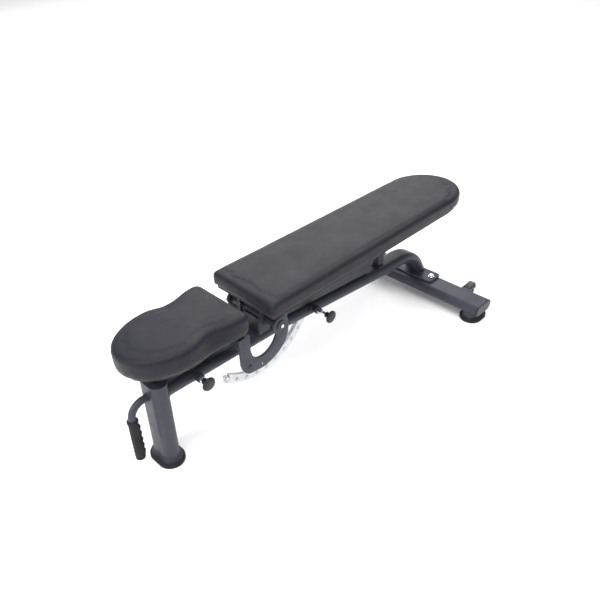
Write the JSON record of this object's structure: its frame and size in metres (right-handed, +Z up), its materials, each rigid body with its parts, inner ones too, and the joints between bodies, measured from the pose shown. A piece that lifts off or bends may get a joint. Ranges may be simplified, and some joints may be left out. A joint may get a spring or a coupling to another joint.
{
  "type": "adjustable weight bench",
  "caption": "Adjustable weight bench: padded back and seat hinged on a flat-oval steel frame, with a perforated lock arc, pull pins, a carry handle and wheels",
  "frame": {"origin": "middle of the bounding box, at floor level", "axes": "+X from the seat to the head end, +Y to the left of someone lying on the bench with the head at +X, seen from the seat, +Z up"},
  "size_m": [1.5176, 0.676, 0.45],
  "materials": {
    "frame_paint": "dark charcoal satin powder coat",
    "upholstery": "near-black vinyl with a soft sheen",
    "rubber": "matt black moulded rubber",
    "plastic": "black moulded plastic",
    "zinc": "bright zinc plate",
    "silver": "light silver, laser-cut plate",
    "board": "plywood under the pads",
    "wheel": "grey moulded wheel"
  },
  "bodies": {
    "frame": {"front_leg": "frame_paint", "leg_cap": "frame_paint", "front_foot": "rubber", "carry_handle": "frame_paint", "handle_grip": "rubber", "main_tube": "frame_paint", "arch_gusset": "frame_paint", "rear_beam": "frame_paint", "beam_cap_left": "plastic", "beam_cap_right": "plastic", "rear_flange": "frame_paint", "flange_bolt_left": "zinc", "flange_bolt_right": "zinc", "rear_riser_left": "frame_paint", "rear_riser_right": "frame_paint", "rear_foot_left": "rubber", "rear_foot_right": "rubber", "wheel_bracket_left": "frame_paint", "wheel_bracket_right": "frame_paint", "wheel_axle_left": "zinc", "wheel_axle_right": "zinc", "pivot_post": "frame_paint", "pivot_shaft": "zinc", "pivot_spacer_left": "frame_paint", "pivot_spacer_right": "frame_paint", "pivot_bolt_left": "zinc", "pivot_bolt_right": "zinc", "seat_pin_boss": "frame_paint", "seat_pin_ferrule": "zinc", "back_pin_boss": "frame_paint", "back_pin_ferrule": "zinc", "back_stop_post": "frame_paint", "back_stop_bumper": "rubber", "seat_bumper": "rubber"},
    "backrest": {"back_pad": "upholstery", "back_board": "board", "back_rail": "frame_paint", "hinge_tube": "frame_paint", "hinge_ear_left": "frame_paint", "hinge_ear_right": "frame_paint", "pad_bracket_front": "frame_paint", "pad_bracket_rear": "frame_paint", "arc_plate_left": "silver", "arc_plate_right": "silver", "arc_spacer": "silver"},
    "seat": {"seat_pad": "upholstery", "seat_board": "board", "seat_bracket_left": "frame_paint", "seat_bracket_right": "frame_paint", "bracket_bolt_left": "zinc", "bracket_bolt_right": "zinc", "seat_cross_tube": "frame_paint", "seat_rail": "frame_paint", "seat_lock_plate": "zinc"},
    "seat_pull_pin": {"seat_pin": "zinc", "seat_pin_knob": "plastic"},
    "back_pull_pin": {"back_pin": "zinc", "back_pin_knob": "plastic"},
    "wheel_l": {"wheel_left": "wheel"},
    "wheel_r": {"wheel_right": "wheel"}
  },
  "joints": [
    {"name": "backrest_tilt", "type": "hinge", "parent": "frame", "child": "backrest", "pos_m": [-0.26525, 0, 0.335], "axis": [0, -1, 0], "range_deg": [0, 80]},
    {"name": "seat_tilt", "type": "hinge", "parent": "frame", "child": "seat", "pos_m": [-0.26525, 0, 0.335], "axis": [0, 1, 0], "range_deg": [0, 10]},
    {"name": "seat_pin_pull", "type": "slide", "parent": "frame", "child": "seat_pull_pin", "axis": [0, -1, 0], "range_m": [0, 0.012], "stiffness_N_per_m": 800, "springref_m": -0.01},
    {"name": "back_pin_pull", "type": "slide", "parent": "frame", "child": "back_pull_pin", "axis": [0, -1, 0], "range_m": [0, 0.012], "stiffness_N_per_m": 800, "springref_m": -0.01},
    {"name": "wheel_left_spin", "type": "hinge", "parent": "frame", "child": "wheel_l", "pos_m": [0.68075, 0.223, 0.056], "axis": [0, 1, 0], "continuous": true},
    {"name": "wheel_right_spin", "type": "hinge", "parent": "frame", "child": "wheel_r", "pos_m": [0.68075, -0.223, 0.056], "axis": [0, 1, 0], "continuous": true}
  ]
}
